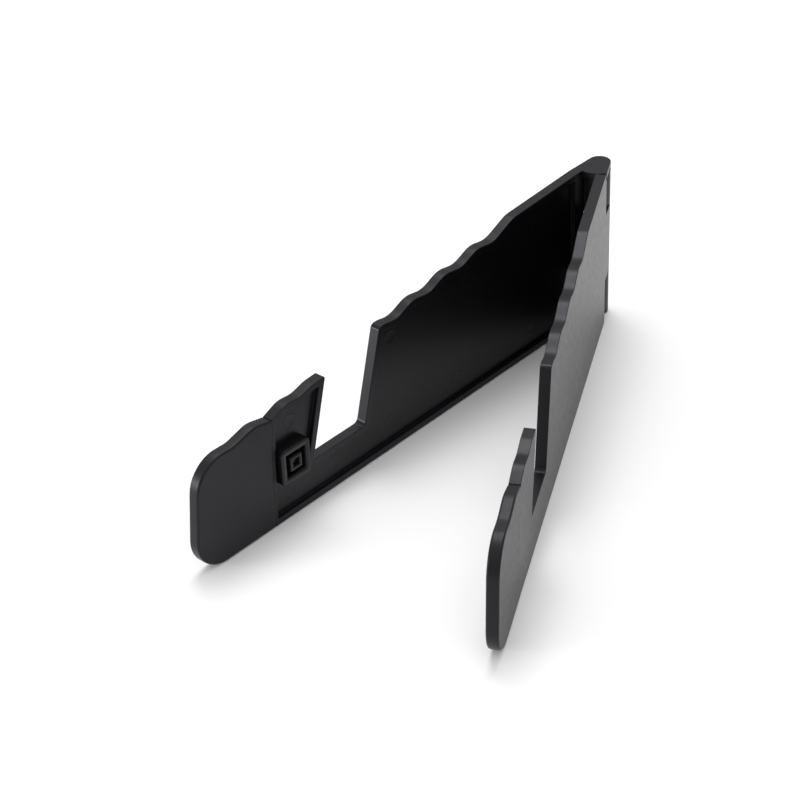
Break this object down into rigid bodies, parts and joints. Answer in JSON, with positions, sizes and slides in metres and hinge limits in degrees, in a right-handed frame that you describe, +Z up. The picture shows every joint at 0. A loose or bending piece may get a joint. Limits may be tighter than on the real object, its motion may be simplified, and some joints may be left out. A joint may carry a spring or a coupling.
{
  "type": "folding photo album stand",
  "caption": "Folding desk stand of two hinged flat leaves with scalloped edges and a slot across each that holds an open album, photo or plate.",
  "frame": {"origin": "middle of the base of the whole stand's box at rest, on the table", "axes": "+Z up; +Y from the front ends towards the hinge; +X to the right of someone facing the hinge from the front; the two leaves are mirror images about X = 0 at rest"},
  "size_m": [0.1032, 0.1978, 0.06],
  "materials": {
    "leaf_plastic": "satin, fine moulded grain",
    "sleeve_soft": "soft matt",
    "catch_plastic": "satin",
    "pin_steel": "bright drawn wire"
  },
  "bodies": {
    "left_half": {"left_leaf": "leaf_plastic", "left_sleeve": "sleeve_soft", "hinge_pin": "pin_steel", "catch_socket": "catch_plastic"},
    "right_half": {"right_leaf": "leaf_plastic", "right_sleeve": "sleeve_soft", "catch_plug": "catch_plastic"}
  },
  "joints": [
    {"name": "fold_hinge", "type": "hinge", "parent": "left_half", "child": "right_half", "pos_m": [0, 0.09498, 0.03], "axis": [0, 0, 1], "range_deg": [-27.6, 62.4]}
  ]
}
